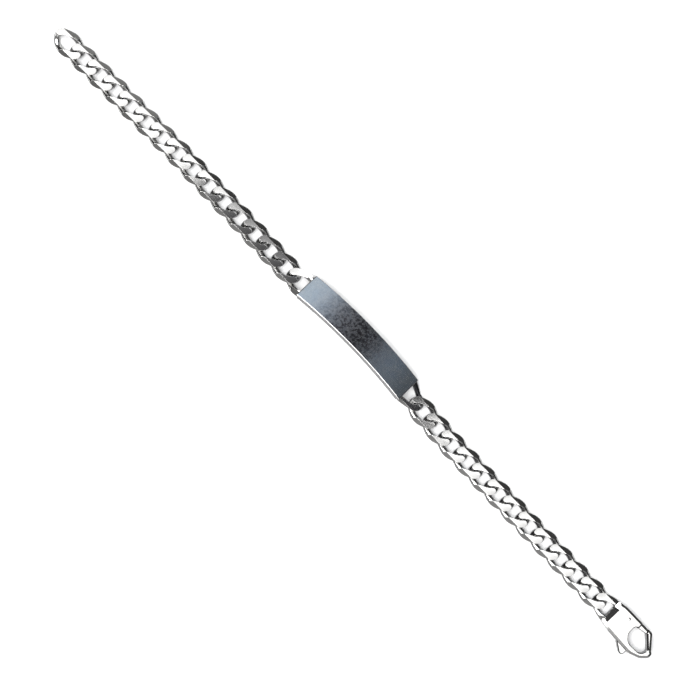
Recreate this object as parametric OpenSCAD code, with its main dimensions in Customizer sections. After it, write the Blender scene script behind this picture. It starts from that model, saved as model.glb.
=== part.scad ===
// Identity bracelet of filed curb links with an arched plate and a flat lobster clasp,
// laid out nearly straight and unfastened on a table. Millimetres, +X towards the clasp.

/* [Chain] */
// Links between the free end and the plate
long_links = 15; // [8:1:20]
// Links between the plate and the clasp
short_links = 12; // [8:1:20]
// Distance from one link to the next
link_pitch = 5.6; // [5.2:0.1:6.4]
// Width of a link over its wire
link_w = 6.6; // [6.4:0.1:7.4]
// Thickness of the link wire
wire_d = 1.8; // [1.4:0.05:1.85]
// Play left between two links that are pulled taut
link_play = 0.15; // [0.1:0.05:0.3]
// Twist of each end of a link out of flat, in degrees
end_twist = 48; // [46:1:52]
// Squareness of a link's outline, where 2 is an ellipse
outline_power = 2.5; // [2.3:0.1:2.8]
// Thickness that the chain is filed down to
chain_t = 2; // [1.8:0.05:2.4]
// Width of the flat top that the filing leaves
flat_w = 4.3; // [3.8:0.1:4.8]
// Fall of the filed bevels for each millimetre outwards
bevel_fall = 0.7; // [0.4:0.05:0.75]

/* [Plate] */
// Length of the plate between its ends
plate_len = 36; // [28:0.2:46]
// Width of the plate
plate_w = 7.1; // [6.8:0.1:9]
// Thickness of the plate
plate_t = 2; // [1.6:0.1:2.6]
// Rise of the plate's arch over its ends
plate_rise = 2.8; // [1.5:0.1:5]
// Bevel along the plate's two long top edges
plate_bevel = 0.25; // [0.1:0.05:0.4]
// Roll of the plate where it lies, in degrees
plate_roll = 15; // [5:1:18]
// Reach of a soldered half link behind its widest place
bail_back = 1.4; // [1:0.1:1.6]

/* [Clasp] */
// Length of the clasp's body from its base to its nose
clasp_len = 14.9; // [14.4:0.1:16.5]
// Thickness of the clasp's body
clasp_t = 2.6; // [2.3:0.1:3.2]
// Half width of the body on the gate's side
gate_side = 3.75; // [3.6:0.05:4.2]
// Half width of the body on the thumb tab's side
tab_side = 3.95; // [3.7:0.05:4.4]
// Diameter of the rivet that the lever turns on
pin_d = 1.2; // [0.8:0.1:1.6]
// Thickness of the lever's blade in its slot
blade_t = 1; // [0.8:0.05:1.2]
// Clearance of the blade in its slot, on each face
blade_clear = 0.1; // [0.1:0.02:0.2]
// Reach of the thumb tab beyond the body
tab_out = 1.6; // [1:0.1:2.2]

/* [Hidden] */
$fn = 96;
steel = [0.82, 0.83, 0.84];
bright = [0.9, 0.9, 0.91];

// Sections round a whole link, round a half link, and corners of the wire
ring_steps = 16;
half_steps = 25;
wire_sides = 6;
wire_r = wire_d / 2;
// Half length and half width of a link's wire axis
axis_a = (link_pitch + wire_d + link_play) / 2;
axis_b = link_w / 2 - wire_r;

// How deep a soldered half link is let into what carries it
solder_depth = 0.4;
// Reach of the clasp's half link behind its widest place
loop_back = 0.6;

// Stations along the bracelet, from the free end
plate_start = axis_a + wire_r + long_links * link_pitch + bail_back;
plate_end = plate_start + plate_len;
clasp_start = plate_end + bail_back + (short_links + 1) * link_pitch + loop_back;
total_len = clasp_start + clasp_len;

// Sideways bow of the chain as it lies: share of the length, offset
lie = [[0, 0.35], [0.06, 0.65], [0.2, 1.2], [0.31, 0.95], [0.39, 0.65], [0.42, 0.6],
       [0.585, 0.6], [0.605, 0.4], [0.625, 0.1], [0.645, -0.12], [0.67, -0.35], [0.7, -0.45], [0.8, -0.55],
       [0.9, -0.65], [1, -0.85]];
function lie_y(x) = lookup(x / total_len, lie);
function lie_yaw(x) = atan((lie_y(x + 2) - lie_y(x - 2)) / 4);
// The plate lies to the gate's side of the chain's line, turned a little
bail_y = lie_y((plate_start + plate_end) / 2);
plate_off = 0.55;
plate_yaw = 0.25;
plate_y = bail_y + plate_off;
clasp_y = lie_y(total_len);

// Half of the plate's arc and its radius, both at mid thickness
arc_r = (pow(plate_len / 2, 2) + pow(plate_rise, 2)) / (2 * plate_rise);
arc_half = asin(plate_len / 2 / arc_r);
// Height of the plate's ends at mid thickness, which rests its lower corners on the table
plate_end_z = plate_w / 2 * sin(plate_roll) + plate_t / 2 * cos(plate_roll) * cos(arc_half);

// Clasp lever: turning centre, radius of its gate's tip, gap at the gate, boss round the rivet
pivot = [4.3, gate_side - 2.15];
gate_tip_r = 6.05;
gate_gap = 0.12;
boss_r = 1.45;
pin_run = 0.05;
pin_seat = 0.02;
gate_lift = 0.12;
tab_t = 1.7;
tab_foot = -tab_side - gate_gap;
gate_start = 7.95;
gate_low = 2.05;
// Run of the steep slope between the half link's arms, its two sides, and run of the shoulders beside it
base_run = 1.35;
base_sides = [-2.3, 1.75];
shoulder_run = 0.9;
// Lower end of the straight front of the nose, and the nose's corner radius
nose_low = -1.3;
nose_r = 0.5;
// Chamfers round the body's upper and lower edge: inset, height
top_edge = [0.6, 0.33];
foot_edge = [0.25, 0.25];

// Shift that puts the middle of the whole outline at the origin
plate_far = plate_y + plate_w / 2 * cos(plate_roll)
    + (plate_rise + plate_t / 2 - plate_bevel) * sin(plate_roll);
top_y = max(plate_far, max([for (row = lie) row[1]]) + link_w / 2);
low_y = clasp_y - tab_side - tab_out;
shift = [-total_len / 2, -(top_y + low_y) / 2, 0];

function link_name(i) = str("link_", i < 10 ? "0" : "", i);

// Vector and outline helpers
function unit(v) = v / norm(v);
function bent(v, e) = sign(v) * pow(abs(v), e);

// Arc points that round one corner b, between its neighbours a and c, with radius r
function corner(a, b, c, r) =
    let (p = unit(a - b), q = unit(c - b), half = acos(p * q) / 2,
         centre = b + unit(p + q) * r / sin(half),
         from = b + p * r / tan(half) - centre, to = b + q * r / tan(half) - centre,
         turn = 180 - 2 * half, way = sign(from[0] * to[1] - from[1] * to[0]),
         steps = max(1, ceil(turn / 12)))
    [for (k = [0 : steps]) let (g = way * turn * k / steps)
        centre + [from[0] * cos(g) - from[1] * sin(g), from[0] * sin(g) + from[1] * cos(g)]];

// Closed outline through the rows [x, y, corner radius]
function rounded(rows) =
    [for (i = [0 : len(rows) - 1])
        let (n = len(rows), a = rows[(i + n - 1) % n], b = rows[i], c = rows[(i + 1) % n])
        each (b[2] == 0 ? [[b[0], b[1]]]
            : corner([a[0], a[1]], [b[0], b[1]], [c[0], c[1]], b[2]))];

// Wire axis of a curb link at the angle t, where roll gives the twist at each station u
function axis_u(t) = axis_a * bent(cos(t), 2 / outline_power);
function axis_point(t, roll, rise) =
    let (u = axis_u(t), w = axis_b * bent(sin(t), 2 / outline_power))
    [u, w * cos(roll(u)), w * sin(roll(u)) + rise(u)];

// Wire section at c across the direction dir, with its flats level
function section(c, dir) =
    let (side = unit(cross(dir, [0, 0, 1])), up = cross(side, dir))
    [for (k = [0 : wire_sides - 1]) let (q = 360 * k / wire_sides)
        c + wire_r * (cos(q) * side + sin(q) * up)];

// All the wire's sections at the angles of ts; a small step either way gives the direction
function sections(ts, roll, rise) =
    [for (t = ts) each section(axis_point(t, roll, rise),
        unit(axis_point(t + 6, roll, rise) - axis_point(t - 6, roll, rise)))];

// Point p brought inside the filed flats and bevels, about a middle height that may slope
function filed(p, mid) =
    let (lid = chain_t / 2 - max(0, abs(p[1]) - flat_w / 2) * bevel_fall)
    [p[0], p[1], mid + max(-lid, min(lid, p[2] - mid))];

// Skin between ring i and ring j
function band(i, j) =
    [for (k = [0 : wire_sides - 1]) let (m = (k + 1) % wire_sides, a = i * wire_sides, b = j * wire_sides)
        each [[a + k, a + m, b + m], [a + k, b + m, b + k]]];

// What the filing leaves of the chain: flat above and below, with bevels beside the flats
module filed_bar() {
    flat = flat_w / 2;
    half = chain_t / 2;
    edge = flat + half / bevel_fall;
    rotate([90, 0, 90]) linear_extrude(4 * axis_a, center = true)
        polygon([[flat, half], [-flat, half], [-edge, 0], [-flat, -half], [flat, -half], [edge, 0]]);
}

module whole_link() {
    roll = function (u) -end_twist * u / axis_a;
    rise = function (u) 0;
    ts = [for (i = [0 : ring_steps - 1]) 360 * i / ring_steps];
    translate([0, 0, chain_t / 2]) intersection() {
        polyhedron(sections(ts, roll, rise),
            [for (i = [0 : ring_steps - 1]) each band(i, (i + 1) % ring_steps)]);
        filed_bar();
    }
}

// Half link that points along +X and reaches back past its widest place to the solder joint.
// Its roll starts as root_roll and it comes down by drop at the given slope.
module half_link(back, root_roll, drop, slope) {
    roll = function (u) root_roll - (end_twist + root_roll) * max(0, u + back) / (axis_a + back);
    rise = function (u) max(0, drop - max(0, u + back) * slope);
    root = acos(-pow((back + solder_depth) / axis_a, outline_power / 2));
    ts = [for (i = [0 : half_steps - 1]) root * (2 * i / (half_steps - 1) - 1)];
    last = (half_steps - 1) * wire_sides;
    rings = sections(ts, roll, rise);
    translate([0, 0, chain_t / 2])
        polyhedron([for (i = [0 : len(rings) - 1]) filed(rings[i], rise(axis_u(ts[floor(i / wire_sides)])))],
            concat([for (i = [0 : half_steps - 2]) each band(i, i + 1)],
                   [[for (k = [0 : wire_sides - 1]) wire_sides - 1 - k]],
                   [[for (k = [0 : wire_sides - 1]) last + k]]));
}

function link_x(i) =
    i <= long_links ? axis_a + wire_r + (i - 1) * link_pitch
        : plate_end + bail_back + (i - long_links) * link_pitch;

module link(i) {
    color(steel) translate(shift + [link_x(i), lie_y(link_x(i)), 0])
        rotate([0, 0, lie_yaw(link_x(i))]) whole_link();
}

module plate_arc() {
    edge = plate_w / 2;
    out = arc_r + plate_t / 2;
    translate([0, 0, -arc_r * cos(arc_half)]) rotate([90, 0, 0]) rotate([0, 0, 90 - arc_half])
        rotate_extrude(angle = 2 * arc_half, $fn = 360)
            polygon([[out - plate_t, -edge], [out - plate_bevel, -edge], [out, plate_bevel - edge],
                     [out, edge - plate_bevel], [out - plate_bevel, edge], [out - plate_t, edge]]);
}

module id_plate() {
    // The bails lie beside the plate's middle line, and so a little higher on its rolled end
    drop = plate_end_z - chain_t / 2 + plate_off * tan(plate_roll);
    color(bright) translate(shift + [(plate_start + plate_end) / 2, bail_y, 0]) {
        translate([0, plate_off, plate_end_z]) rotate([-plate_roll, 0, plate_yaw]) plate_arc();
        translate([plate_len / 2 + bail_back, 0, 0])
            half_link(bail_back, -plate_roll, drop, tan(arc_half));
        rotate([0, 0, 180]) translate([plate_len / 2 + bail_back, 0, 0])
            half_link(bail_back, plate_roll, drop, tan(arc_half));
    }
}

// Everything of the clasp is drawn from its base at x = 0 and its own middle line
module at_clasp() {
    translate(shift + [clasp_start, clasp_y, 0]) children();
}

// Outline of the body: x, y, corner radius
body_rows = [[0, 3.3, 0.5], [2.2, gate_side, 3], [clasp_len - 3.6, gate_side, 1.3],
    [clasp_len - 0.6, 0.3, 0.4], [clasp_len, -0.1, nose_r], [clasp_len, nose_low, 2 * nose_r],
    [clasp_len - 1.6, -2.95, 2.4], [clasp_len - 4.3, -tab_side, 3], [2.6, 0.35 - tab_side, 6],
    [0, -3.05, 0.5]];
// Hole that the hook closes round
eye_rows = [[7.05, gate_low, 1], [10.35, gate_low + 0.62, 0.15], [clasp_len - 1.45, -0.25, 0.6],
    [clasp_len - 2.1, -2.2, 1.5], [8.6, -2.35, 2.1], [7.05, -0.6, 1.6]];

// Outline rows moved inwards by d, for rows that run clockwise
function inset(rows, d) =
    [for (i = [0 : len(rows) - 1])
        let (n = len(rows), b = [rows[i][0], rows[i][1]],
             p = unit([rows[(i + n - 1) % n][0], rows[(i + n - 1) % n][1]] - b),
             q = unit([rows[(i + 1) % n][0], rows[(i + 1) % n][1]] - b),
             bulge = p[0] * q[1] - p[1] * q[0] > 0 ? 1 : -1,
             moved = b + bulge * unit(p + q) * d / sin(acos(p * q) / 2))
        [moved[0], moved[1], max(0.05, rows[i][2] - bulge * d)]];

// The body's outer form with its chamfered edges, all of it moved inwards by d
module clasp_form(d) {
    levels = [[d, foot_edge[0]], [d + foot_edge[1], 0], [clasp_t - d - top_edge[1], 0],
        [clasp_t - d, top_edge[0]]];
    rings = [for (level = levels) [for (p = rounded(inset(body_rows, d + level[1]))) [p[0], p[1], level[0]]]];
    n = len(rings[0]);
    polyhedron([for (ring = rings) each ring],
        concat([[for (k = [0 : n - 1]) n - 1 - k]],
               [for (j = [0 : len(levels) - 2]) for (k = [0 : n - 1]) let (m = (k + 1) % n)
                   [j * n + k, j * n + m, (j + 1) * n + m, (j + 1) * n + k]],
               [[for (k = [0 : n - 1]) (len(levels) - 1) * n + k]]));
}

// Eye and mouth cut through the body; the hook's end is hollowed round the turning centre
module clasp_holes() {
    polygon(rounded(eye_rows));
    intersection() {
        translate([gate_start - gate_gap, gate_low - 1]) square([4, 4]);
        translate(pivot) circle(gate_tip_r + gate_gap);
    }
}

// Room that the blade sweeps inside the body
module blade_room() {
    polygon([[2.6, 0.2], [2.6, gate_side + 1], [gate_start, gate_side + 1], [gate_start, -1.2],
             [10.15, -2.3], [10.15, -tab_side - 1], [3.2, -tab_side - 1]]);
}

// Slopes cut off the base's upper edge: a gentle one all across, and a steep one between the arms
module base_slopes() {
    translate([0, 2 * gate_side, 0]) slope(chain_t, shoulder_run, 4 * gate_side);
    translate([0, base_sides[1], 0]) slope(clasp_t - base_run, base_run, base_sides[1] - base_sides[0]);
}

// Wedge over the base that starts at the given height and has the given run and width
module slope(height, run, width) {
    rotate([90, 0, 0]) linear_extrude(width)
        polygon([[-1, height], [0, height], [run, clasp_t], [run, clasp_t + 1], [-1, clasp_t + 1]]);
}

module clasp_body() {
    room_t = blade_t + 2 * blade_clear;
    color(bright) at_clasp() {
        difference() {
            clasp_form(0);
            translate([0, 0, -1]) linear_extrude(clasp_t + 2) clasp_holes();
            base_slopes();
            translate([0, 0, (clasp_t - room_t) / 2]) linear_extrude(room_t) blade_room();
            translate([pivot[0], pivot[1], -1]) cylinder(h = clasp_t + 2, r = pin_d / 2 + pin_seat);
        }
        rotate([0, 0, 180]) translate([loop_back, -0.15, 0]) half_link(loop_back, 0, 0, 1);
    }
}

// Blade: boss round the rivet, arm to the gate, arm to the thumb tab
module blade_profile() {
    translate(pivot) circle(boss_r);
    intersection() {
        polygon(rounded([[3.9, 0.3, 0], [3.9, gate_side - 0.3, 0.6], [9, gate_side - 0.3, 0],
            [9, gate_low + 0.3, 0.1], [6.9, gate_low - 0.1, 0.9], [6.85, -0.6, 1.8], [8.4, -2.55, 2.2],
            [9.9, -2.75, 0], [9.9, -tab_side + 0.4, 0], [6.2, -tab_side + 0.4, 1]]));
        union() {
            translate(pivot) circle(gate_tip_r);
            translate([3, -9]) square([9, 10]);
        }
    }
}

module gate_profile() {
    intersection() {
        polygon([[gate_start, gate_low + 0.05], [gate_start, gate_side], [11, gate_side],
                 [11, gate_low + 0.72], [10.35, gate_low + 0.55]]);
        translate(pivot) circle(gate_tip_r);
    }
}

// Thumb tab outside the body, whose foot follows the body's edge
module tab_profile() {
    polygon(rounded([[6.3, tab_foot + 0.14, 0], [8.75, -tab_side - tab_out, 0.45],
        [9.75, -tab_side - tab_out, 0.6], [9.85, tab_foot, 0]]));
}

module clasp_lever() {
    color(steel) at_clasp() difference() {
        union() {
            translate([0, 0, (clasp_t - blade_t) / 2]) linear_extrude(blade_t) blade_profile();
            intersection() {
                linear_extrude(clasp_t) gate_profile();
                clasp_form(gate_lift);
            }
            translate([0, 0, (clasp_t - tab_t) / 2]) linear_extrude(tab_t) tab_profile();
            translate([7, tab_foot - 0.3, (clasp_t - blade_t) / 2]) cube([2.8, 1, blade_t]);
        }
        translate([pivot[0], pivot[1], -1]) cylinder(h = clasp_t + 2, r = pin_d / 2 + pin_run);
    }
}

module clasp_pin() {
    color(steel) at_clasp() translate([pivot[0], pivot[1], 0.05])
        cylinder(h = clasp_t - 0.1, r = pin_d / 2);
}

for (i = [1 : long_links + short_links]) link(i);
id_plate();
clasp_body();
clasp_lever();
clasp_pin();
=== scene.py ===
"""Dresses the identity bracelet: filed curb links, arched name plate and lobster clasp, with the stage."""

import math

import bmesh
import bpy
from bpy.props import FloatProperty, FloatVectorProperty, IntProperty, PointerProperty
from mathutils import Matrix, Vector, noise


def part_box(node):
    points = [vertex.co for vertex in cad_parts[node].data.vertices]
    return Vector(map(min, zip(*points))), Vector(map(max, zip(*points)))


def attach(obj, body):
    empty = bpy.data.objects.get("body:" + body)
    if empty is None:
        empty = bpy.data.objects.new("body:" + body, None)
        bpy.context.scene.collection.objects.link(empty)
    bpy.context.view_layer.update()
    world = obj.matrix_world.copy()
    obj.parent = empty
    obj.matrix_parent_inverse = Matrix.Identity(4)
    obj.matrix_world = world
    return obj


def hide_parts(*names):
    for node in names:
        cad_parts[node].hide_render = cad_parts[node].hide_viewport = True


bl_info = {
    "name": "Identity bracelet",
    "version": (1, 0, 0),
    "blender": (4, 5, 0),
    "location": "View3D > Sidebar > Bracelet",
    "description": "Builds a filed curb bracelet with a name plate and a lobster clasp round its frame",
    "category": "Add Mesh",
}

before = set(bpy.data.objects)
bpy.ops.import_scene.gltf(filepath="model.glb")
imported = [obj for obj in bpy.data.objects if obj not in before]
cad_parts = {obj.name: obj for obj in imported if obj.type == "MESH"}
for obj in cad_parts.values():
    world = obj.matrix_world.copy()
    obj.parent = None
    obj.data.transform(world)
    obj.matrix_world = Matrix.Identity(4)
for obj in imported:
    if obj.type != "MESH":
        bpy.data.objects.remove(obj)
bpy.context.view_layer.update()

# Pieces are drawn in millimetres and brought to metres when they are finished
MM = 0.001
LINK_NODES = sorted(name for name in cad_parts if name.startswith("link_"))
CHAIN_BODY = "bracelet"
LEVER_BODY = "lever"
# Share of a link's half width past which the wire counts as one of its two arms
ARM_SHARE = 0.4
# Distance within which the middle of another link is the next one's, in millimetres
NEXT_LINK = 7
# Distance under which two points of a frame mesh are one, in millimetres
SAME_POINT = 1e-4
# Turn between two faces up to which they are one flat face
FLAT_TURN = math.radians(0.5)
# Turn between two faces from which their shared edge may be bevelled
SHARP_TURN = math.radians(30)
# Most that the normal of an upright wall may point up or down, as a share
UPRIGHT_RISE = 0.1
# How much a large face counts for a corner's normal, where 50 is plain area
FACE_WEIGHT = 60


def node_box(name):
    """Lowest and highest corner of a CAD node, in millimetres."""
    low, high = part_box(name)
    return low / MM, high / MM


def length(text, about, default, low=0.0, high=100.0):
    """A size in millimetres, shown in the panel."""
    return FloatProperty(name=text, description=about, default=default, min=low, max=high)


def amount(text, about, default, high=10.0):
    """A plain number, such as a brightness or a share."""
    return FloatProperty(name=text, description=about, default=default, min=0.0, max=high)


def angle(text, about, degrees):
    """An angle, shown in degrees and kept in radians."""
    return FloatProperty(name=text, description=about, default=math.radians(degrees), subtype="ANGLE")


def colour(text, about, red, green, blue):
    """A linear colour."""
    return FloatVectorProperty(
        name=text, description=about, default=(red, green, blue), min=0.0, max=1.0, size=3, subtype="COLOR"
    )


class ChainSettings(bpy.types.PropertyGroup):
    """Sizes of a filed curb link, in millimetres."""

    reach: length("Reach", "Half length of the wire's middle line", 3.775)
    half_width: length("Half width", "Half width of the wire's middle line", 2.4)
    wire: length("Wire", "Thickness of the drawn wire", 1.72)
    squareness: amount("Squareness", "Power of the outline, where 2 is an ellipse", 2.5)
    twist: angle("Twist", "Turn of each end of a link out of flat", 48)
    thickness: length("Thickness", "Height left by the filing", 2.0)
    flat: length("Flat", "Width of the flat left by the filing", 4.05)
    flat_side: length("Flat offset", "How far the flat lies to the thumb tab's side", 0.125)
    bevel_fall: amount("Bevel fall", "Fall of the side bevels for each millimetre outwards", 0.7)
    crown: angle("Crown", "Outward lean of the upper flats", 1.6)
    edge: length("Edge", "Width of the softened edge round a filed flat", 0.02)
    weld: length("Weld", "Distance under which two points are one", 0.01)
    # Shares of the most painted shade, with some tarnish, on steep sides, on the ends and where the wire
    # dives
    steep_shade: amount("Steep tarnish", "Most tarnish on the steep sides, as a share", 0.93, 1.0)
    end_shade: amount("End tarnish", "Most tarnish on the ends, as a share", 0.6, 1.0)
    dive_shade: amount("Dive tarnish", "Most tarnish where the wire dives, as a share", 0.7, 1.0)
    rings: IntProperty(name="Rings", description="Sections round a whole link", default=72, min=16, max=160)
    sides: IntProperty(name="Sides", description="Corners of the wire's section", default=20, min=8, max=32)


class PlateSettings(bpy.types.PropertyGroup):
    """Sizes of the name plate and of its soldered half links, in millimetres."""

    length: length("Length", "Length of the plate between its ends", 36.0)
    width: length("Width", "Width of the plate", 7.3)
    thickness: length("Thickness", "Thickness of the plate", 2.0)
    rise: length("Rise", "Rise of the arch over its ends", 2.8)
    bevel: length("Bevel", "Bevel along the two long top edges", 0.12)
    corner: length("Corner", "Bevel that the frame's own plate has", 0.25)
    soft: length("Soft edge", "Rounding of the lower edges", 0.09)
    end_edge: length("End edge", "Rounding round the two ends", 0.16)
    roll: angle("Roll", "Roll of the plate where it lies", 15)
    yaw: angle("Yaw", "Turn of the plate where it lies", 0.25)
    offset: length("Offset", "How far the plate lies beside its half links' line", 0.45)
    bail_back: length("Bail reach", "Reach of a half link behind its widest place", 1.4)
    solder: length("Solder depth", "How deep a half link is let into the plate", 0.4)
    flare: length("Flare", "Outward lean of the upper arm at the clasp's side, at its root", 1.1)
    free_flare: length("Free end's flare", "The same at the free end's side", 0.45)
    flare_from: length("Flare from", "Where on the half link its upper arm starts to lean out", 1.7)
    ripple: length("Ripple", "Height of the faint waves on the top", 0.004)
    ripple_fade: length("Ripple fade", "Width along the edges over which the waves die out", 0.6)
    steps: IntProperty(name="Steps", description="Sections along the plate", default=120, min=24, max=240)
    strips: IntProperty(name="Strips", description="Strips across the plate", default=16, min=4, max=32)


class ClaspSettings(bpy.types.PropertyGroup):
    """Places on the lobster clasp, and the bevels of its edges, in millimetres."""

    reach: length("Length", "Length of the body from its base to its nose", 14.9)
    rivet_side: length("Rivet offset", "How far the rivet is from the body's middle line", 1.6)
    rivet_reach: length("Rivet reach", "Reach of the rivet's hole about its axis, with some room", 1.0)
    eye_edge: length("Eye edge", "Bevel round the top of the eye and the mouth", 0.18)
    gate_edge: length("Gate edge", "Bevel round the top of the lever's gate", 0.12)
    tab_edge: length("Tab edge", "Bevel round the top of the thumb tab", 0.25)
    tab_top: length("Tab top", "Height of the thumb tab's top", 2.15)
    slot_low: length("Slot low", "Height over which level faces belong to the lever's slot", 0.6)
    slot_high: length("Slot high", "Height under which level faces belong to the lever's slot", 2.0)
    crease: angle("Crease", "Turn between two faces from which their shared edge stays crisp", 20)
    hook_run: length("Hook bevel's run", "How wide the bevel inside the hook is", 0.45)
    hook_fall: length("Hook bevel's fall", "How deep the bevel inside the hook is", 0.4)
    loop_back: length("Loop reach", "Reach of the soldered half link behind its widest place", 0.6)
    solder: length("Solder depth", "How deep the half link is let into the base", 0.4)
    loop_side: length("Loop offset", "Sideways place of the half link on the base", 0.15)


class SilverSettings(bpy.types.PropertyGroup):
    """Colours of the polished silver and its tarnish, and of the painted shade and painted dark reflection
    on it.
    """

    bright: colour("Bright", "Freshly polished silver", 0.93, 0.925, 0.91)
    dull: colour("Dull", "Silver that has lost its first polish", 0.72, 0.715, 0.7)
    # Dark colour of the painted shade, with some tarnish, on the links' recesses and steep sides and on the
    # walls of the plate and clasp
    recess: colour("Recess", "Tarnish where links rub and meet", 0.065, 0.065, 0.07)
    film: colour("Film", "Bluish film on the name plate", 0.6, 0.65, 0.7)
    # Dark colour of the plate's mottled tarnish and of the painted dark reflection at its middle
    tarnish_and_reflection: colour("Smoke", "Dark mottled tarnish at the plate's middle", 0.1, 0.1, 0.105)


class StageSettings(bpy.types.PropertyGroup):
    """Where the camera stands, and how bright the room and the surface are."""

    height: length("Camera height", "Camera over the surface", 450.0, high=2000.0)
    foot: length("Camera foot", "Point under the camera, along the chain", 3.15, low=-200.0)
    tilt: angle("Tilt", "Lean of the view to the thumb tab's side", 5)
    turn: angle("Turn", "Turn of the picture", 45.9054)
    aim_x: length("Aim along", "Point in the middle of the picture, along the chain", -2.763, low=-50.0)
    aim_y: length("Aim across", "Point in the middle of the picture, across the chain", -1.733, low=-50.0)
    aim_z: length("Aim up", "Point in the middle of the picture, over the surface", 1.0)
    lens: length("Lens", "Focal length on a 36 mm sensor", 95.54, high=300.0)
    floor_radius: length("Floor radius", "Radius of the surface", 6000.0, high=10000.0)
    ceiling: amount("Ceiling", "Brightness of the lamp overhead", 4.2)
    lamp: FloatVectorProperty(
        name="Lamp", description="Direction of the lamp", default=(-0.2, -0.1, 0.975), subtype="DIRECTION"
    )
    calm: amount("Calm ceiling", "Brightness of the lamp's calm middle, which level faces mirror", 1.5)
    spread: angle("Lamp spread", "Half angle of the lamp overhead", 46)
    fade: angle("Lamp fade", "Half width of the lamp's soft rim", 3)
    paper: colour("Paper", "Colour of the surface", 0.92, 0.92, 0.92)


class BraceletSettings(bpy.types.PropertyGroup):
    """All the settings of the bracelet."""

    chain: PointerProperty(type=ChainSettings)
    plate: PointerProperty(type=PlateSettings)
    clasp: PointerProperty(type=ClaspSettings)
    silver: PointerProperty(type=SilverSettings)
    stage: PointerProperty(type=StageSettings)


class Value:
    """A socket that takes part in Python arithmetic; each operation adds its Math node."""

    def __init__(self, nodes, socket):
        self.nodes = nodes
        self.socket = socket

    def math(self, operation, *others):
        return self.nodes.add("ShaderNodeMath", {"operation": operation}, self, *others)

    def __add__(self, other):
        return self.math("ADD", other)

    __radd__ = __add__

    def __mul__(self, other):
        return self.math("MULTIPLY", other)

    __rmul__ = __mul__

    def __sub__(self, other):
        return self.math("SUBTRACT", other)

    def __rsub__(self, other):
        return self.nodes.add("ShaderNodeMath", {"operation": "SUBTRACT"}, other, self)

    def __truediv__(self, other):
        return self.math("DIVIDE", other)

    def __abs__(self):
        return self.math("ABSOLUTE")

    def at_least(self, other):
        """The larger of the two."""
        return self.math("MAXIMUM", other)

    def step(self, low, high):
        """Rises smoothly from 0 at low to 1 at high."""
        return self.nodes.add(
            "ShaderNodeMapRange", {"interpolation_type": "SMOOTHSTEP"},
            **{"Value": self, "From Min": low, "From Max": high},
        )

    def fall(self, low, high):
        """Falls smoothly from 1 at low to 0 at high."""
        return 1.0 - self.step(low, high)


def mixed(first, last, share):
    """Goes from first to last with a share; each may be a number or a Value."""
    return first + share * (last - first)


class Nodes:
    """The nodes of one material or of the world."""

    def __init__(self, owner):
        owner.use_nodes = True
        self.tree = owner.node_tree
        self.tree.nodes.clear()

    def add(self, kind, settings=None, *inputs, out=0, places=None, **sockets):
        """Makes a node with its settings, and the values or links of its sockets, by place or by name."""
        node = self.tree.nodes.new(kind)
        for name, value in (settings or {}).items():
            if name == "stops":
                self.set_stops(node.color_ramp, value)
            else:
                setattr(node, name, value)
        for place, value in [*enumerate(inputs), *(places or {}).items(), *sockets.items()]:
            if isinstance(value, Value):
                self.tree.links.new(value.socket, node.inputs[place])
            elif value is not None:
                node.inputs[place].default_value = value
        return Value(self, node.outputs[out]) if node.outputs else node

    @staticmethod
    def set_stops(ramp, stops):
        """Gives a ramp its (place, colour) stops."""
        while len(ramp.elements) < len(stops):
            ramp.elements.new(1.0)
        for element, (place, shade) in zip(ramp.elements, stops):
            element.position = place
            element.color = (*shade, 1.0)

    def blend(self, factor, first, second):
        """Mixes two colours."""
        factor_in, first_in, second_in, colour_out = 0, 6, 7, 2
        first, second = [side if isinstance(side, Value) else (*side[:3], 1.0) for side in (first, second)]
        return self.add(
            "ShaderNodeMix", {"data_type": "RGBA"}, out=colour_out,
            places={factor_in: factor, first_in: first, second_in: second},
        )

    def place(self, scale=(1.0, 1.0, 1.0), turn=0.0, centre=(0.0, 0.0, 0.0)):
        """The piece's own coordinates in millimetres, centred, turned about Z, then stretched."""
        raw = self.add("ShaderNodeTexCoord", out="Object")
        centred = self.add("ShaderNodeMapping", None, raw, Location=[-c * MM for c in centre])
        turned = self.add("ShaderNodeMapping", None, centred, Rotation=(0.0, 0.0, -turn))
        return self.add("ShaderNodeMapping", None, turned, Scale=[s / MM for s in scale])

    def axes(self, vector):
        """The three parts of a vector."""
        split = self.add("ShaderNodeSeparateXYZ", None, vector)
        return [Value(self, output) for output in split.socket.node.outputs]

    def noise(self, vector, scale, detail=3.0, roughness=0.5):
        """Soft noise from 0 to 1, with scale spots for each millimetre."""
        return self.add("ShaderNodeTexNoise", None, vector, Scale=scale, Detail=detail, Roughness=roughness)

    def bump(self, height, distance):
        """A normal from a height that is 1 at its top; distance is that height in millimetres."""
        return self.add("ShaderNodeBump", None, Height=height, Distance=distance * MM, Strength=1.0)


def silver(name, paint):
    """A metal material whose colour, roughness and normal come from paint(nodes)."""
    material = bpy.data.materials.new(name)
    nodes = Nodes(material)
    base, roughness, normal = paint(nodes)
    metal = nodes.add(
        "ShaderNodeBsdfPrincipled", None,
        **{"Base Color": base, "Metallic": 1.0, "Roughness": roughness, "Normal": normal},
    )
    nodes.add("ShaderNodeOutputMaterial", None, metal)
    return material


def tarnish(nodes, where):
    """The recess attribute of painted shade with some tarnish, made weaker on the links towards the free
    end.
    """
    lighter_until, full_shade_from, lighter_share = -70.0, -30.0, 0.8
    recess = nodes.add("ShaderNodeAttribute", {"attribute_name": "recess"}, out="Fac")
    along, _, _ = nodes.axes(where)
    return recess * mixed(lighter_share, 1.0, along.step(lighter_until, full_shade_from))


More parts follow.
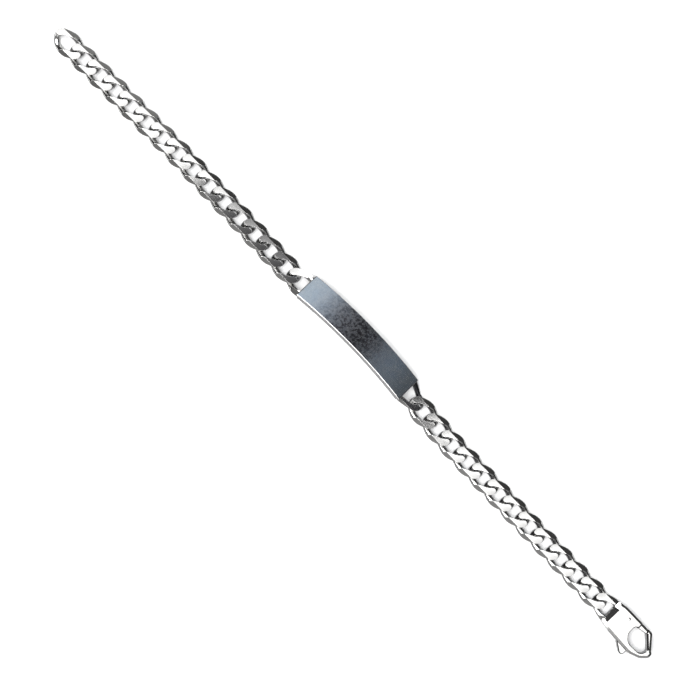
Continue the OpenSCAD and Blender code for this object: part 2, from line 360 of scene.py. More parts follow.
def drawn_wire(tones):
    """Round wire that the file didn't touch: polished by wear, with painted shade and some tarnish where
    links meet, on steep sides and where the wire dives.
    """

    def paint(nodes):
        where = nodes.place()
        cloud = nodes.noise(where, scale=0.55, detail=4.0)
        recess = tarnish(nodes, where)
        worn = nodes.blend(cloud.step(0.35, 0.7), tones.bright[:], tones.dull[:])
        # Painted shade, with some tarnish, where the attribute is high
        base = nodes.blend(recess, worn, tones.recess[:])
        fine = nodes.noise(nodes.place(scale=(0.4, 3.0, 3.0)), scale=6.0, detail=2.0)
        return base, 0.06 + 0.06 * cloud + 0.14 * recess, nodes.bump(fine, distance=0.0012)

    return silver("drawn_wire", paint)


def filed_flat(tones):
    """Facet left by the file and polished: very fine straight lines and small nicks."""

    def paint(nodes):
        where = nodes.place()
        cloud = nodes.noise(where, scale=0.35)
        lines = nodes.noise(nodes.place(scale=(0.25, 6.0, 1.0)), scale=4.0)
        nicks = nodes.noise(where, scale=5.0, detail=2.0).step(0.7, 0.78)
        recess = tarnish(nodes, where)
        worn = nodes.blend(cloud.step(0.4, 0.75) * 0.45, tones.bright[:], tones.dull[:])
        # Painted shade, with some tarnish, stronger where the attribute is high
        base = nodes.blend(recess * mixed(0.7, 1.0, recess.step(0.7, 1.0)), worn, tones.recess[:])
        rough = 0.035 + 0.03 * lines + 0.08 * nicks
        return base, rough, nodes.bump(lines - 0.6 * nicks, distance=0.0008)

    return silver("filed_flat", paint)


def plate_top(tones, middle, half_length):
    """Top of the name plate: a bluish film towards the ends, and mottled dark tarnish with a painted dark
    reflection at the middle.
    """

    def paint(nodes):
        where = nodes.place(centre=middle)
        along, _, _ = nodes.axes(where)
        share = along / half_length
        # The dark tarnish and its painted dark reflection are darkest a little to the free end's side of
        # the middle
        darkest = -0.16
        cloud = nodes.noise(where, scale=0.5, detail=4.0, roughness=0.6)
        grain = nodes.noise(where, scale=1.4, roughness=0.7)
        tarnish_and_reflection = abs(share - darkest + 0.35 * (cloud - 0.5)).fall(0.12, 0.62) * 0.85
        mottle = grain.step(0.44, 0.6) * mixed(0.15, 1.0, tarnish_and_reflection)
        film = nodes.blend(cloud.step(0.3, 0.7) * 0.5 + 0.3, tones.dull[:], tones.film[:])
        # Painted dark reflection and tarnish over the film at the middle
        base = nodes.blend(tarnish_and_reflection * 0.55 + 0.45 * mottle, film, tones.tarnish_and_reflection[:])
        ripple = nodes.noise(nodes.place(scale=(1.0, 0.6, 1.0), centre=middle), scale=1.3, detail=2.0)
        height = ripple * 0.7 + grain * 0.25 * (0.08 + tarnish_and_reflection)
        return base, 0.18 - 0.08 * mottle + 0.04 * ripple, nodes.bump(height, distance=0.012)

    return silver("plate_top", paint)


def plate_wall(tones, middle):
    """Long side wall of the plate, hatched by the mill across its height, and darkened with painted shade.
    """

    def paint(nodes):
        where = nodes.place(centre=middle)
        hatch = nodes.noise(nodes.place(scale=(5.0, 0.4, 0.4), centre=middle), scale=1.6, detail=2.0)
        cloud = nodes.noise(where, scale=0.5)
        # Painted shade over most of the wall, with the mill's hatch and faint spots
        shade_and_hatch = hatch.step(0.38, 0.62) * 0.12 + 0.06 * cloud + 0.8
        base = nodes.blend(shade_and_hatch, tones.dull[:], tones.recess[:])
        return base, 0.22 + 0.16 * hatch, nodes.bump(hatch, distance=0.02)

    return silver("plate_wall", paint)


def polished_edge(tones):
    """Burnished bevels and soft edges."""

    def paint(nodes):
        where = nodes.place()
        wear = nodes.noise(where, scale=2.2)
        base = nodes.blend(wear.step(0.45, 0.8) * 0.4, tones.bright[:], tones.dull[:])
        return base, 0.06 + 0.1 * wear, nodes.bump(wear, distance=0.0015)

    return silver("polished_edge", paint)


def clasp_skin(tones):
    """Polished body of the clasp, with hairline scratches and a few duller places."""

    def paint(nodes):
        where = nodes.place()
        cloud = nodes.noise(where, scale=0.4)
        hairs = nodes.noise(nodes.place(scale=(0.3, 5.0, 1.0), turn=0.5), scale=3.0)
        base = nodes.blend(cloud.step(0.4, 0.75) * 0.5, tones.bright[:], tones.dull[:])
        return base, 0.08 + 0.1 * hairs, nodes.bump(hairs, distance=0.001)

    return silver("clasp_skin", paint)


def clasp_wall(tones):
    """Steep walls of the clasp, darkened with painted shade and some tarnish."""

    def paint(nodes):
        where = nodes.place()
        cloud = nodes.noise(where, scale=1.6)
        # Painted shade over the wall, with faint spots
        base = nodes.blend(cloud.step(0.35, 0.65) * 0.08 + 0.92, tones.dull[:], tones.recess[:])
        return base, 0.14 + 0.12 * cloud, nodes.bump(cloud, distance=0.01)

    return silver("clasp_wall", paint)


def paper(shade):
    """Smooth pale card under the bracelet."""
    material = bpy.data.materials.new("pale_card")
    nodes = Nodes(material)
    fibres = nodes.noise(nodes.place(), scale=0.8)
    base = nodes.blend(fibres * 0.04, shade[:], [0.97 * tone for tone in shade])
    normal = nodes.bump(fibres, distance=0.004)
    card = nodes.add(
        "ShaderNodeBsdfPrincipled", None,
        **{"Base Color": base, "Roughness": 0.9, "Specular IOR Level": 0.1, "Normal": normal},
    )
    nodes.add("ShaderNodeOutputMaterial", None, card)
    return material


def finish_piece(bm, name, materials, nodes, body=CHAIN_BODY):
    """Makes a bmesh drawn in millimetres a smooth piece that stands for its CAD nodes."""
    bmesh.ops.recalc_face_normals(bm, faces=bm.faces)
    mesh = bpy.data.meshes.new(name)
    bm.to_mesh(mesh)
    bm.free()
    mesh.transform(Matrix.Scale(MM, 4))
    for material in materials:
        mesh.materials.append(material)
    mesh.polygons.foreach_set("use_smooth", [True] * len(mesh.polygons))
    piece = bpy.data.objects.new(name, mesh)
    bpy.context.collection.objects.link(piece)
    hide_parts(*nodes)
    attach(piece, body)
    return piece


def bent(share, power):
    """One coordinate of a superellipse from that of a circle."""
    return math.copysign(abs(share) ** (2 / power), share)


def ramp(value, low, high):
    """The share of the way from low to high, kept between 0 and 1."""
    return min(1.0, max(0.0, (value - low) / (high - low)))


class WireAxis:
    """Middle line of a curb link's wire: a superellipse that roll(along) turns about the link's length."""

    def __init__(self, chain, roll):
        self.chain = chain
        self.roll = roll

    def point(self, turn):
        """Point of the middle line at a turn about the link's middle."""
        along = self.chain.reach * bent(math.cos(turn), self.chain.squareness)
        across = self.chain.half_width * bent(math.sin(turn), self.chain.squareness)
        roll = self.roll(along)
        return Vector((along, across * math.cos(roll), across * math.sin(roll)))

    def section(self, turn):
        """Middle of the wire there, with the sideways and upward directions of its section."""
        step = math.radians(4)  # short beside the bends, and long enough to smooth them
        ahead = (self.point(turn + step) - self.point(turn - step)).normalized()
        side = ahead.cross(Vector((0, 0, 1))).normalized()
        return self.point(turn), side, side.cross(ahead)


def wire_ring(axis, first, last, steps):
    """Wire bent along its axis between two turns; a full turn closes on itself."""
    chain = axis.chain
    whole = abs(last - first - math.tau) < 1e-6
    # Radius of the plain ring that is bent to the axis afterwards
    ring = 2.0
    bm = bmesh.new()
    upright = Matrix.Translation((ring, 0, 0)) @ Matrix.Rotation(math.pi / 2, 4, "X")
    place = Matrix.Rotation(first, 4, "Z") @ upright
    bmesh.ops.create_circle(bm, segments=chain.sides, radius=1.0, matrix=place)
    bmesh.ops.spin(
        bm, geom=bm.verts[:] + bm.edges[:], cent=(0, 0, 0), axis=(0, 0, 1),
        angle=last - first, steps=steps, use_merge=whole,
    )
    middle = (first + last) / 2
    for vert in bm.verts:
        turn = middle + math.remainder(math.atan2(vert.co.y, vert.co.x) - middle, math.tau)
        centre, side, up = axis.section(turn)
        out = math.hypot(vert.co.x, vert.co.y) - ring
        vert.co = centre + chain.wire / 2 * (out * side + vert.co.z * up)
    if not whole:
        bmesh.ops.holes_fill(bm, edges=[edge for edge in bm.edges if edge.is_boundary], sides=0)
    bmesh.ops.recalc_face_normals(bm, faces=bm.faces)
    return bm


def filing_planes(chain):
    """The planes that the file leaves: (point, outward normal), about the middle of the height."""
    half = chain.thickness / 2
    lean = math.tan(chain.crown)
    planes = []
    for side in (-1, 1):
        planes.append((Vector((0, 0, half)), Vector((0, side * lean, 1)).normalized()))
        for up, height in ((-1, -half), (1, half - lean * chain.flat / 2)):
            corner = Vector((0, side * chain.flat / 2 - chain.flat_side, height))
            planes.append((corner, Vector((0, side * chain.bevel_fall, up)).normalized()))
    planes.append((Vector((0, 0, -half)), Vector((0, 0, -1))))
    return planes


def file_wire(bm, chain):
    """Cuts the wire to the filing planes, closes the cuts as facets and softens their edges."""
    facet = 1
    for point, normal in filing_planes(chain):
        cut = bmesh.ops.bisect_plane(
            bm, geom=bm.verts[:] + bm.edges[:] + bm.faces[:], dist=1e-5,
            plane_co=point, plane_no=normal, clear_outer=True,
        )
        edges = [part for part in cut["geom_cut"] if isinstance(part, bmesh.types.BMEdge)]
        open_edges = [edge for edge in edges if edge.is_valid and edge.is_boundary]
        for face in bmesh.ops.holes_fill(bm, edges=open_edges, sides=0)["faces"]:
            face.material_index = facet
    bmesh.ops.remove_doubles(bm, verts=bm.verts, dist=chain.weld)
    bmesh.ops.dissolve_degenerate(bm, edges=bm.edges, dist=chain.weld)
    flats = [face for face in bm.faces if face.material_index == facet and len(face.verts) > 4]
    bmesh.ops.inset_individual(bm, faces=flats, thickness=chain.edge, use_even_offset=True)


def paint_shade_and_tarnish(bm, chain):
    """Paints the recess attribute, painted shade with some tarnish: high on steep sides, on the ends, and
    where the wire dives.
    """
    layer = bm.verts.layers.float.new("recess")
    bm.normal_update()
    for vert in bm.verts:
        steep = min(chain.steep_shade, ramp(abs(vert.normal.z), 0.75, 0.5))
        end = min(chain.end_shade, ramp(abs(vert.co.x) / chain.reach, 0.88, 0.98))
        # Positive on the half of each arm that goes down under the next link
        downwards = math.copysign(vert.co.x, vert.co.x * vert.co.y)
        dive = min(chain.dive_shade, ramp(downwards, 0, chain.reach))
        on_arm = abs(vert.co.y) > ARM_SHARE * chain.half_width
        vert[layer] = max(steep, end, dive * ramp(vert.normal.z, 0.97, 0.845) * on_arm)


def whole_link(chain):
    """One filed curb link about its own middle."""
    axis = WireAxis(chain, lambda along: -chain.twist * along / chain.reach)
    bm = wire_ring(axis, 0.0, math.tau, chain.rings)
    file_wire(bm, chain)
    paint_shade_and_tarnish(bm, chain)
    return bm


def half_link(chain, back, solder, root_roll=0.0, drop=0.0, slope=1.0, flare=0.0, flare_from=1.0):
    """Half a link that points along +X, from a solder joint behind its widest place.

    Its roll starts as root_roll, and it comes down by drop at the given slope. The arm on the side that
    flare's sign gives leans outwards by flare at its root.
    """

    def roll(along):
        return root_roll - (chain.twist + root_roll) * max(0.0, along + back) / (chain.reach + back)

    axis = WireAxis(chain, roll)
    root = math.acos(-(((back + solder) / chain.reach) ** (chain.squareness / 2)))
    bm = wire_ring(axis, -root, root, int(chain.rings * root / math.pi))
    file_wire(bm, chain)
    paint_shade_and_tarnish(bm, chain)
    for vert in bm.verts:
        vert.co.z += max(0.0, drop - max(0.0, vert.co.x + back) * slope)
        if vert.co.y * flare > 0:
            share = max(0.0, flare_from - vert.co.x) / (flare_from + back + solder)
            vert.co.y += flare * share
            vert.co.z -= abs(flare * math.tan(root_roll)) * share
    return bm


def join(bm, other, move, own_finishes):
    """Adds another bmesh to bm, moved by a matrix and with its finishes after bm's own, and frees it."""
    for face in other.faces:
        face.material_index += own_finishes
    other.transform(move)
    mesh = bpy.data.meshes.new("joined")
    other.to_mesh(mesh)
    other.free()
    bm.from_mesh(mesh)
    bpy.data.meshes.remove(mesh)


def link_places():
    """(node, middle, turn about Z) of each link; the turn is that of the line through its neighbours."""
    middles = []
    for node in LINK_NODES:
        low, high = node_box(node)
        middles.append((low + high) / 2)
    places = []
    for i, node in enumerate(LINK_NODES):
        near = [other for other in middles if (other - middles[i]).length < NEXT_LINK]
        first = min(near, key=lambda point: point.x)
        last = max(near, key=lambda point: point.x)
        places.append((node, middles[i], math.atan2(last.y - first.y, last.x - first.x)))
    return places


def copied_node(node):
    """A merged copy of a CAD node's mesh, in millimetres, with its flat faces made whole."""
    bm = bmesh.new()
    bm.from_mesh(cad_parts[node].data)
    bm.transform(Matrix.Scale(1 / MM, 4))
    bmesh.ops.remove_doubles(bm, verts=bm.verts, dist=SAME_POINT)
    bmesh.ops.dissolve_limit(bm, angle_limit=FLAT_TURN, verts=bm.verts, edges=bm.edges)
    return bm


def soften(bm, width, wanted, segments=2, clamp=True):
    """Bevels the sharp edges that are wanted, with one segment, or rounds them with more."""
    bm.normal_update()
    edges = [
        edge for edge in bm.edges
        if len(edge.link_faces) == 2 and edge.calc_face_angle(0.0) > SHARP_TURN and wanted(edge)
    ]
    if not edges:
        raise RuntimeError("no edge to soften")
    bmesh.ops.bevel(
        bm, geom=edges, offset=width, offset_type="OFFSET", segments=segments, profile=0.5,
        affect="EDGES", material=-1, clamp_overlap=clamp,
    )


def crease(bm, limit):
    """Marks the edges that turn by more than the limit as crisp."""
    bm.normal_update()
    for edge in bm.edges:
        edge.smooth = len(edge.link_faces) == 2 and edge.calc_face_angle(0.0) < limit


def weigh_normals(piece):
    """Keeps large flat faces flat beside their rounded edges."""
    modifier = piece.modifiers.new("Flat faces", "WEIGHTED_NORMAL")
    modifier.keep_sharp = True
    modifier.weight = FACE_WEIGHT


def wire_finishes():
    """The finishes of drawn and filed wire, which the links have as well."""
    return [bpy.data.materials["drawn_wire"], bpy.data.materials["filed_flat"]]


def rivet_place():
    """Place of the rivet's axis on the surface."""
    low, high = node_box("clasp_pin")
    return ((low + high) / 2).xy


def rivet_rim(clasp):
    """A test that tells whether an edge belongs to the rivet's hole."""
    rivet = rivet_place()
    return lambda edge: all((vert.co.xy - rivet).length < clasp.rivet_reach for vert in edge.verts)


def bevel_rim(bm, width, height, spared):
    """Bevels the edges at a height where a level face meets an upright wall, apart from the spared ones."""
    same_height, level = 0.005, 0.99

    def wanted(edge):
        wall_rise, top_rise = sorted(abs(face.normal.z) for face in edge.link_faces)
        at_height = all(abs(vert.co.z - height) < same_height for vert in edge.verts)
        return at_height and wall_rise < UPRIGHT_RISE and top_rise > level and not spared(edge)

    soften(bm, width, wanted, segments=1, clamp=False)


def mark_walls(bm, clasp):
    """Gives the steep walls and the slot's faces the wall finish of painted shade with some tarnish, but
    not the slopes at the base.
    """
    shaded_finish, steep, level = 1, 0.8, 0.9
    bm.normal_update()
    for face in bm.faces:
        rise = abs(face.normal.z)
        base_slope = face.normal.x < -0.5 and face.normal.z > 0.3
        in_slot = clasp.slot_low < face.calc_center_median().z < clasp.slot_high and rise > level
        if in_slot or (rise < steep and not base_slope):
            face.material_index = shaded_finish


class BRACELET_OT_chain(bpy.types.Operator):
    """Makes each filed curb link in the place of its frame node."""

    bl_idname = "bracelet.chain"
    bl_label = "Curb links"

    def execute(self, context):
        settings = context.scene.bracelet
        chain = settings.chain
        finishes = [drawn_wire(settings.silver), filed_flat(settings.silver)]
        pattern = whole_link(chain)
        for node, middle, turn in link_places():
            bm = pattern.copy()
            bm.transform(Matrix.Translation(middle) @ Matrix.Rotation(turn, 4, "Z"))
            finish_piece(bm, "curb_" + node, finishes, [node])
        pattern.free()
        return {"FINISHED"}


class BRACELET_OT_plate(bpy.types.Operator):
    """Makes the arched name plate with its two soldered half links."""

    bl_idname = "bracelet.plate"
    bl_label = "Name plate"

    def execute(self, context):
        settings = context.scene.bracelet
        plate, chain, tones = settings.plate, settings.chain, settings.silver
        low, high = node_box("id_plate")
        radius = ((plate.length / 2) ** 2 + plate.rise ** 2) / (2 * plate.rise)
        half_turn = math.asin(plate.length / 2 / radius)
        half, half_t = plate.width / 2, plate.thickness / 2
        end_z = half * math.sin(plate.roll) + half_t * math.cos(plate.roll) * math.cos(half_turn)
        crest = (plate.rise + half_t - plate.corner) * math.sin(plate.roll)
        middle_y = high.y - half * math.cos(plate.roll) - crest
        middle = Vector(((low.x + high.x) / 2, middle_y, end_z))
        top = plate_top(tones, middle, plate.length / 2)
        finishes = [polished_edge(tones), top, plate_wall(tones, middle)]
        bm = self.bar(plate, radius, half_turn)
        turn = Matrix.Rotation(plate.yaw, 4, "Z") @ Matrix.Rotation(-plate.roll, 4, "X")
        bm.transform(Matrix.Translation(middle) @ turn)
        drop = end_z - chain.thickness / 2 + plate.offset * math.tan(plate.roll)
        place = Matrix.Translation((middle.x, middle.y - plate.offset, chain.thickness / 2))
        out = Matrix.Translation((plate.length / 2 + plate.bail_back, 0, 0))
        bails = ((0, -plate.roll, plate.flare), (math.pi, plate.roll, -plate.free_flare))
        for towards, roll, flare in bails:
            bail = half_link(
                chain, plate.bail_back, plate.solder, roll, drop, math.tan(half_turn),
                flare, plate.flare_from,
            )
            if flare > 0:
                # Painted shade over the upper arm of the half link at the clasp's side
                self.shade_arm(bail, ARM_SHARE * chain.half_width)
            join(bm, bail, place @ Matrix.Rotation(towards, 4, "Z") @ out, len(finishes))
        piece = finish_piece(bm, "name_plate", finishes + wire_finishes(), ["id_plate"])
        weigh_normals(piece)
        return {"FINISHED"}

    @staticmethod
    def shade_arm(bail, from_y):
        """Paints one arm of a half link in full painted shade, as on the half link at the clasp's side."""
        layer = bail.verts.layers.float["recess"]
        for vert in bail.verts:
            if vert.co.y > from_y:
                vert[layer] = 1.0

    def bar(self, plate, radius, half_turn):
        """The arched bar about the middle of its ends, with the finishes edge, top and wall."""
        bm = self.bar_section(plate, radius)
        pivot = Vector((0, 0, 0))
        bmesh.ops.rotate(bm, verts=bm.verts, cent=pivot, matrix=Matrix.Rotation(-half_turn, 3, "Y"))
        bmesh.ops.spin(
            bm, geom=bm.verts[:] + bm.edges[:], cent=pivot, axis=(0, 1, 0),
            angle=2 * half_turn, steps=plate.steps,
        )
        bmesh.ops.holes_fill(bm, edges=[edge for edge in bm.edges if edge.is_boundary], sides=0)
        bmesh.ops.recalc_face_normals(bm, faces=bm.faces)
        self.finish_bar(bm, plate)
        self.ripple_top(bm, plate, radius + plate.thickness / 2)
        bm.transform(Matrix.Translation((0, 0, -radius * math.cos(half_turn))))
        return bm

    @staticmethod
    def bar_section(plate, radius):
        """Outline of the bar's section, at its radius over the middle of the arch."""
        half, half_t = plate.width / 2, plate.thickness / 2
        lower, upper = radius - half_t, radius + half_t
        bm = bmesh.new()
        corners = [(-half, lower), (half, lower), (half, upper), (-half, upper)]
        verts = [bm.verts.new((0, y, z)) for y, z in corners]
        bm.faces.new(verts)
        for corner, width, segments in ((verts[:2], plate.soft, 2), (verts[2:], plate.bevel, 3)):
            bmesh.ops.bevel(
                bm, geom=corner, offset=width, offset_type="OFFSET", segments=segments, profile=0.5,
                affect="VERTICES", material=-1,
            )
        bmesh.ops.delete(bm, geom=bm.faces[:], context="FACES_ONLY")
        broad = [edge for edge in bm.edges if edge.calc_length() > half]
        bmesh.ops.subdivide_edges(bm, edges=broad, cuts=plate.strips - 1)
        strip = (plate.width - 2 * plate.bevel) / plate.strips
        for vert in bm.verts:
            inward = half - plate.bevel - abs(vert.co.y)
            # The outermost strips of the top are drawn in to narrow ones beside the bevels
            if vert.co.z > radius and 0.5 * strip < inward < 1.5 * strip:
                vert.co.y += math.copysign(inward - plate.soft, vert.co.y)
        return bm

    @staticmethod
    def finish_bar(bm, plate):
        """Gives the bar's faces their finishes and rounds its two ends."""
        edge_finish, top_finish, wall_finish = 0, 1, 2
        # Least share of a normal that points up on the top, across on a wall or a bevel, along at an end
        flat, gate_bevel, end = 0.995, 0.3, 0.6
        bm.normal_update()
        for face in bm.faces:
            centre = face.calc_center_median()
            up = Vector((centre.x, 0, centre.z)).normalized()
            if face.normal.dot(up) > flat:
                face.material_index = top_finish
            # The upright walls and the bevel on the gate's side take the wall finish, whose painted shade
            # makes that bevel a dark line
            elif abs(face.normal.y) > flat or face.normal.y > gate_bevel:
                face.material_index = wall_finish
            else:
                face.material_index = edge_finish
        # Only the two end faces have more than four corners
        soften(bm, plate.end_edge, lambda edge: any(len(face.verts) > 4 for face in edge.link_faces))
        bm.normal_update()
        # The rounded ends take the wall finish too, with its painted shade
        for face in bm.faces:
            if abs(face.normal.x) > end:
                face.material_index = wall_finish

    @staticmethod
    def ripple_top(bm, plate, top):
        """Lifts and lowers the top, at its radius, in faint waves that die out at the long edges."""
        waves_along, waves_across, seed = 0.42, 0.5, 3.1
        still = plate.width / 2 - plate.bevel * 1.5
        for vert in bm.verts:
            radius = math.hypot(vert.co.x, vert.co.z)
            if radius > top - SAME_POINT and abs(vert.co.y) < still:
                wave = noise.noise(Vector((vert.co.x * waves_along, vert.co.y * waves_across, seed)))
                fade = min(1.0, (still - abs(vert.co.y)) / plate.ripple_fade)
                vert.co *= 1 + plate.ripple * wave * fade / radius


class BRACELET_OT_clasp(bpy.types.Operator):
    """Makes the lobster clasp's body with its soldered half link, and dresses its rivet."""

    bl_idname = "bracelet.clasp"
    bl_label = "Clasp"

    def execute(self, context):
        settings = context.scene.bracelet
        clasp, chain, tones = settings.clasp, settings.chain, settings.silver
        _, high = node_box("clasp_body")
        base = Vector((high.x - clasp.reach, rivet_place().y - clasp.rivet_side, 0))
        skin = clasp_skin(tones)
        finishes = [skin, clasp_wall(tones)]
        bm = copied_node("clasp_body")
        self.cut_base(bm, base.x)
        self.bevel_hook(bm, clasp, high.z)
        bevel_rim(bm, clasp.eye_edge, high.z, rivet_rim(clasp))
        mark_walls(bm, clasp)
        crease(bm, clasp.crease)
        loop = half_link(chain, clasp.loop_back, clasp.solder)
        back = Matrix.Rotation(math.pi, 4, "Z") @ Matrix.Translation((clasp.loop_back, -clasp.loop_side, 0))
        place = Matrix.Translation(base + Vector((0, 0, chain.thickness / 2)))
        join(bm, loop, place @ back, len(finishes))
        piece = finish_piece(bm, "clasp_case", finishes + wire_finishes(), ["clasp_body"])
        weigh_normals(piece)
        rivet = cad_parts["clasp_pin"]
        rivet.data.materials.clear()
        rivet.data.materials.append(skin)
        return {"FINISHED"}

    @staticmethod
    def cut_base(bm, base_x):
        """Takes the frame's own half link off the copied body."""
        skimmed = 0.02
        cut = bmesh.ops.bisect_plane(
            bm, geom=bm.verts[:] + bm.edges[:] + bm.faces[:], dist=SAME_POINT,
            plane_co=(base_x + skimmed, 0, 0), plane_no=(-1, 0, 0), clear_outer=True,
        )
        edges = [part for part in cut["geom_cut"] if isinstance(part, bmesh.types.BMEdge)]
        bmesh.ops.holes_fill(bm, edges=[edge for edge in edges if edge.is_boundary], sides=0)
        bmesh.ops.dissolve_limit(bm, angle_limit=FLAT_TURN, verts=bm.verts, edges=bm.edges)
        bm.normal_update()

    @staticmethod
    def bevel_hook(bm, clasp, top):
        """Leans the upper part of the hook's slanted inner wall into the metal."""
        into_eye = Vector((-0.69, -0.73, 0)).normalized()
        facing_from, near_top = 0.6, 0.01
        bm.normal_update()
        wall = [face for face in bm.faces if face.normal.dot(into_eye) > facing_from]
        rims = dict.fromkeys(part for face in wall for part in [*face.edges, *face.verts])
        bmesh.ops.bisect_plane(
            bm, geom=wall + list(rims), dist=SAME_POINT,
            plane_co=(0, 0, top - clasp.hook_fall), plane_no=(0, 0, 1),
        )
        bm.normal_update()
        for vert in bm.verts:
            if vert.co.z > top - near_top:
                walls = [face.normal for face in vert.link_faces if abs(face.normal.z) < UPRIGHT_RISE]
                facing = max((wall.dot(into_eye) for wall in walls), default=0.0)
                vert.co -= into_eye * clasp.hook_run * ramp(facing, facing_from, 1.0)
        bm.normal_update()


class BRACELET_OT_lever(bpy.types.Operator):
    """Makes the clasp's sprung lever with its gate and thumb tab."""

    bl_idname = "bracelet.lever"
    bl_label = "Lever"

    def execute(self, context):
        clasp = context.scene.bracelet.clasp
        _, high = node_box("clasp_lever")
        bm = copied_node("clasp_lever")
        at_rivet = rivet_rim(clasp)
        bevel_rim(bm, clasp.gate_edge, high.z, at_rivet)
        bevel_rim(bm, clasp.tab_edge, clasp.tab_top, lambda edge: at_rivet(edge) or self.at_foot(edge))
        mark_walls(bm, clasp)
        crease(bm, clasp.crease)
        finishes = [bpy.data.materials["clasp_skin"], bpy.data.materials["clasp_wall"]]
        piece = finish_piece(bm, "clasp_trigger", finishes, ["clasp_lever"], LEVER_BODY)
        weigh_normals(piece)
        return {"FINISHED"}

    @staticmethod
    def at_foot(edge):
        """Tells whether an edge belongs to the thumb tab's foot, whose wall faces the gate's side."""
        facing = 0.9
        return any(face.normal.y > facing for face in edge.link_faces)


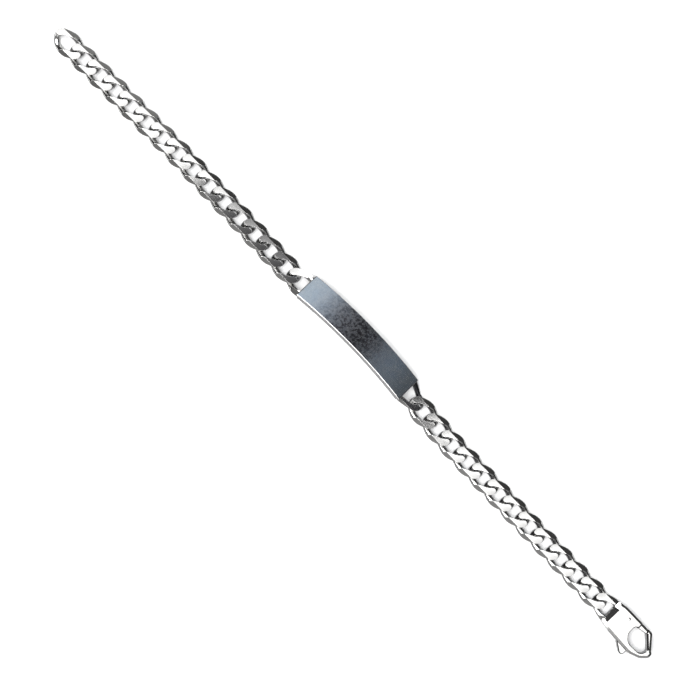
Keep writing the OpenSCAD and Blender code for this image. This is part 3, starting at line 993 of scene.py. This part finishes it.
class BRACELET_OT_stage(bpy.types.Operator):
    """Makes the pale surface, the studio's light and the camera."""

    bl_idname = "bracelet.stage"
    bl_label = "Stage"

    def execute(self, context):
        stage = context.scene.bracelet.stage
        self.floor(context, stage)
        self.room(context, stage)
        self.camera(context, stage)
        context.scene.view_settings.view_transform = "Standard"
        return {"FINISHED"}

    def floor(self, context, stage):
        """A wide round surface under the bracelet."""
        bm = bmesh.new()
        bmesh.ops.create_circle(bm, cap_ends=True, segments=96, radius=stage.floor_radius * MM)
        mesh = bpy.data.meshes.new("surface")
        bm.to_mesh(mesh)
        bm.free()
        mesh.materials.append(paper(stage.paper))
        surface = bpy.data.objects.new("surface", mesh)
        context.collection.objects.link(surface)

    def room(self, context, stage):
        """The studio that the metal mirrors: a wide lamp, dim walls, a dim side, a dark card and a post.

        A place in it is the slope of its direction: how far along or across for each step upwards.
        """
        world = bpy.data.worlds.new("studio")
        context.scene.world = world
        nodes = Nodes(world)
        x, y, z = nodes.axes(nodes.add("ShaderNodeTexCoord", out="Generated"))
        lowest = 0.04
        level = z.at_least(lowest)
        along, across = x / level, y / level
        facing = x * stage.lamp.x + y * stage.lamp.y + z * stage.lamp.z
        lamp = facing.step(math.cos(stage.spread + stage.fade), math.cos(stage.spread - stage.fade))
        # The lamp's middle is calmer, and level faces mirror it
        calm = abs(along).fall(0.28, 0.36) * abs(across - 0.08).fall(0.18, 0.26)
        ceiling = mixed(stage.ceiling, stage.calm, calm)
        bright = mixed(self.walls(x, y), ceiling, lamp)
        seen = nodes.add("ShaderNodeCombineXYZ", None, bright, bright, bright)
        for thing in (self.dim_side, self.dark_card, self.post):
            cover, shade = thing(nodes, along, across)
            seen = nodes.blend(cover, seen, shade)
        back = nodes.add("ShaderNodeBackground", None, seen, 1.0)
        nodes.add("ShaderNodeOutputWorld", None, back)

    @staticmethod
    def walls(x, y):
        """Brightness of the walls: darkest beyond the free end, and dark on the gate's side up to there."""
        tab_side = mixed(0.14, 0.26, x.step(-0.2, -0.05))
        gate_side = mixed(0.2, 0.045, x.step(-0.19, -0.13))
        return mixed(tab_side, gate_side, y.step(-0.15, 0.15)) * mixed(0.2, 1.0, x.step(-0.75, -0.55))

    @staticmethod
    def dim_side(nodes, along, across):
        """Where the dim side is that the name plate mirrors, and its shades along the plate."""
        cover = across.step(0.34, 0.5) * across.fall(1.1, 1.5) * abs(along).fall(0.9, 1.2)
        stops = [
            (0.0, (0.62, 0.72, 0.82)),
            (0.2, (0.42, 0.48, 0.56)),
            (0.38, (0.2, 0.2, 0.23)),
            (0.48, (0.05, 0.05, 0.055)),
            (0.58, (0.05, 0.055, 0.07)),
            (0.75, (0.11, 0.14, 0.18)),
            (0.95, (0.08, 0.09, 0.1)),
        ]
        return cover, nodes.add("ShaderNodeValToRGB", {"stops": stops}, along * 0.55 + 0.5)

    @staticmethod
    def dark_card(nodes, along, across):
        """Where the dark card is that the middle links mirror, and its shade, paler at one corner."""
        ends = (along - 0.19 * across).step(-0.148, -0.135) * along.fall(0.0565, 0.0595)
        sides = across.step(-0.14, -0.1) * across.fall(0.19, 0.22)
        corner = across.step(0.09, 0.13) * along.fall(-0.08, -0.068)
        return ends * sides, nodes.blend(corner * 0.75, (0.14, 0.14, 0.145), (0.55, 0.55, 0.56))

    @staticmethod
    def post(nodes, along, across):
        """Where the dark post is that the links beside the clasp mirror, and its shade."""
        cover = abs(along - 0.29).fall(0.035, 0.05) * abs(across - 0.19).fall(0.09, 0.13)
        return cover, (0.05, 0.05, 0.055)

    def camera(self, context, stage):
        """A camera overhead, leaning to the thumb tab's side and turned as in the photo."""
        lens = bpy.data.cameras.new("camera")
        camera = bpy.data.objects.new("camera", lens)
        context.collection.objects.link(camera)
        aim = Vector((stage.aim_x, stage.aim_y, stage.aim_z)) * MM
        place = Vector((stage.foot, stage.aim_y - stage.height * math.tan(stage.tilt), stage.height)) * MM
        ahead = (aim - place).normalized()
        up = Vector((-math.sin(stage.turn), math.cos(stage.turn), 0))
        right = ahead.cross(up).normalized()
        up = right.cross(ahead)
        camera.matrix_world = Matrix.Translation(place) @ Matrix((right, up, -ahead)).transposed().to_4x4()
        lens.sensor_width = 36.0
        lens.lens = stage.lens
        lens.clip_start, lens.clip_end = 0.01, 100.0
        context.scene.camera = camera


class BRACELET_PT_panel(bpy.types.Panel):
    """Lists the pieces and their settings."""

    bl_idname = "BRACELET_PT_panel"
    bl_label = "Identity bracelet"
    bl_space_type = "VIEW_3D"
    bl_region_type = "UI"
    bl_category = "Bracelet"

    def draw(self, context):
        settings = context.scene.bracelet
        for name, operator in (
            ("chain", BRACELET_OT_chain), ("plate", BRACELET_OT_plate), ("clasp", BRACELET_OT_clasp),
            ("clasp", BRACELET_OT_lever), ("stage", BRACELET_OT_stage),
        ):
            box = self.layout.box()
            box.operator(operator.bl_idname)
            group = getattr(settings, name)
            for field in type(group).__annotations__:
                box.prop(group, field)


CLASSES = (
    ChainSettings, PlateSettings, ClaspSettings, SilverSettings, StageSettings, BraceletSettings,
    BRACELET_OT_chain, BRACELET_OT_plate, BRACELET_OT_clasp, BRACELET_OT_lever, BRACELET_OT_stage,
    BRACELET_PT_panel,
)


def register():
    for kind in CLASSES:
        bpy.utils.register_class(kind)
    bpy.types.Scene.bracelet = PointerProperty(type=BraceletSettings)


def unregister():
    del bpy.types.Scene.bracelet
    for kind in reversed(CLASSES):
        bpy.utils.unregister_class(kind)


def main():
    """Builds every piece in order."""
    register()
    bpy.ops.bracelet.stage()
    bpy.ops.bracelet.chain()
    bpy.ops.bracelet.plate()
    bpy.ops.bracelet.clasp()
    bpy.ops.bracelet.lever()


if __name__ == "__main__":
    main()
